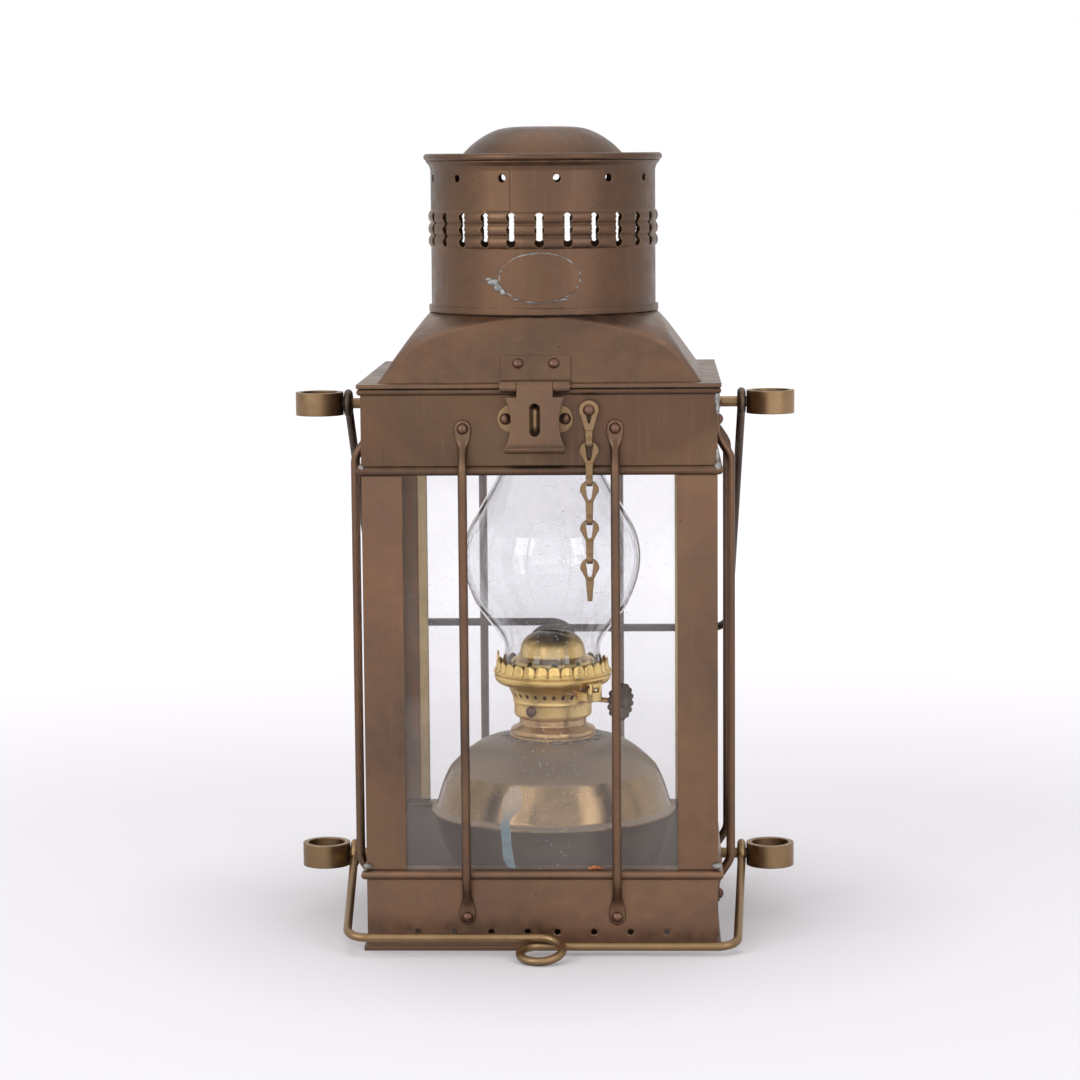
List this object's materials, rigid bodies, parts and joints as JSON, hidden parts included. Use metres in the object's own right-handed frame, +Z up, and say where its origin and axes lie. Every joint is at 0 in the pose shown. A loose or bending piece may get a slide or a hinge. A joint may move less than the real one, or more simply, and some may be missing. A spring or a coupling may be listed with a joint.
{
  "type": "ship's oil lantern",
  "caption": "Square brass oil lantern with glazed sides, guard rods, hinged chimney lid with hasp, wire bails, guide eyes and a wick lamp inside.",
  "frame": {"origin": "centre of the base on the surface that the lantern stands on", "axes": "+Z up, -Y towards the front with the hasp, +X to the right seen from the front"},
  "size_m": [0.24, 0.2225, 0.3807],
  "materials": {
    "body_brass": "brown patina, rubbed golden on edges",
    "gold_brass": "worn golden brown brass",
    "dark_wire": "dark tarnished wire",
    "copper_rivet": "copper brown rivet heads",
    "fount_brass": "dull brass, half polished",
    "burner_brass": "bright yellow brass",
    "pane_glass": "dusty clear glass",
    "lamp_glass": "clear blown glass",
    "wick_cotton": "woven cotton"
  },
  "bodies": {
    "lantern": {"base_tray": "body_brass", "base_floor": "body_brass", "corner_post_fl": "body_brass", "corner_post_fr": "body_brass", "corner_post_rl": "body_brass", "corner_post_rr": "body_brass", "top_band": "body_brass", "guard_rods_front": "body_brass", "guard_rods_back": "body_brass", "guard_rods_left": "body_brass", "guard_rods_right": "body_brass", "hinge_body_leaf": "body_brass", "guide_eye_upper_left": "gold_brass", "guide_eye_upper_right": "gold_brass", "guide_eye_lower_left": "gold_brass", "guide_eye_lower_right": "gold_brass", "staple_plate": "gold_brass", "staple": "gold_brass", "hinge_pin": "dark_wire", "gallery_pin": "dark_wire", "guard_rivets": "copper_rivet", "guide_eye_rivets": "copper_rivet", "staple_rivets": "copper_rivet", "chain_rivet": "copper_rivet", "hinge_body_rivets": "copper_rivet", "fount_bowl": "fount_brass", "fount_top": "fount_brass", "screw_collar": "burner_brass", "burner_body": "burner_brass", "wick_tube": "burner_brass", "pane_front": "pane_glass", "pane_back": "pane_glass", "pane_left": "pane_glass", "pane_right": "pane_glass"},
    "lid": {"hinge_lid_leaf": "body_brass", "hinge_lid_rivets": "copper_rivet", "lid_flange": "body_brass", "roof_hood": "body_brass", "chimney_drum": "body_brass", "cap_dome": "body_brass", "oval_plate": "body_brass", "hasp_leaf": "gold_brass", "hasp_pin": "dark_wire", "hasp_rivets": "copper_rivet"},
    "hasp": {"hasp_tab": "gold_brass"},
    "upper_bail": {"upper_bail": "dark_wire"},
    "lower_bail": {"lower_bail": "gold_brass"},
    "link_1": {"chain_link_1": "gold_brass"},
    "link_2": {"chain_link_2": "gold_brass"},
    "link_3": {"chain_link_3": "gold_brass"},
    "link_4": {"chain_link_4": "gold_brass"},
    "link_5": {"chain_link_5": "gold_brass"},
    "winder": {"wick_shaft": "burner_brass", "wick_knob": "dark_wire"},
    "wick": {"wick": "wick_cotton"},
    "gallery": {"burner_gallery": "burner_brass", "flame_dome": "burner_brass", "lamp_glass": "lamp_glass"}
  },
  "joints": [
    {"name": "lid_open", "type": "hinge", "parent": "lantern", "child": "lid", "pos_m": [0, 0.08625, 0.2629], "axis": [-1, 0, 0], "range_deg": [0, 100]},
    {"name": "hasp_swing", "type": "hinge", "parent": "lid", "child": "hasp", "pos_m": [-0.0015, -0.08705, 0.2629], "axis": [-1, 0, 0], "range_deg": [0, 150]},
    {"name": "upper_bail_swing", "type": "hinge", "parent": "lantern", "child": "upper_bail", "pos_m": [0, 0, 0.249], "axis": [1, 0, 0], "range_deg": [0, 284]},
    {"name": "lower_bail_swing", "type": "hinge", "parent": "lantern", "child": "lower_bail", "pos_m": [0, 0, 0.028], "axis": [1, 0, 0], "range_deg": [-20, 170]},
    {"name": "link_1_swing", "type": "hinge", "parent": "lantern", "child": "link_1", "pos_m": [0.023, -0.0855, 0.252], "axis": [0, 1, 0], "range_deg": [-3, 12]},
    {"name": "link_2_swing", "type": "hinge", "parent": "link_1", "child": "link_2", "pos_m": [0.023, -0.0855, 0.2372], "axis": [-1, 0, 0], "range_deg": [0, 15]},
    {"name": "link_3_swing", "type": "hinge", "parent": "link_2", "child": "link_3", "pos_m": [0.023, -0.0855, 0.2194], "axis": [-1, 0, 0], "range_deg": [0, 15]},
    {"name": "link_4_swing", "type": "hinge", "parent": "link_3", "child": "link_4", "pos_m": [0.023, -0.0855, 0.2016], "axis": [-1, 0, 0], "range_deg": [0, 15]},
    {"name": "link_5_swing", "type": "hinge", "parent": "link_4", "child": "link_5", "pos_m": [0.023, -0.0855, 0.1838], "axis": [-1, 0, 0], "range_deg": [0, 15]},
    {"name": "wick_turn", "type": "hinge", "parent": "lantern", "child": "winder", "pos_m": [0.00565, 0.00459, 0.1052], "axis": [-0.866, 0.5, 0], "range_deg": [-90, 90]},
    {"name": "wick_lift", "type": "slide", "parent": "lantern", "child": "wick", "axis": [0, 0, 1], "range_m": [-0.0065, 0.0065]},
    {"name": "gallery_tilt", "type": "hinge", "parent": "lantern", "child": "gallery", "pos_m": [0.0236, -0.02209, 0.1142], "axis": [0.7314, 0.682, 0], "range_deg": [0, 15]}
  ],
  "couplings": [
    {"joint": "wick_lift", "follows": "wick_turn", "m_per_rad": 0.004}
  ]
}
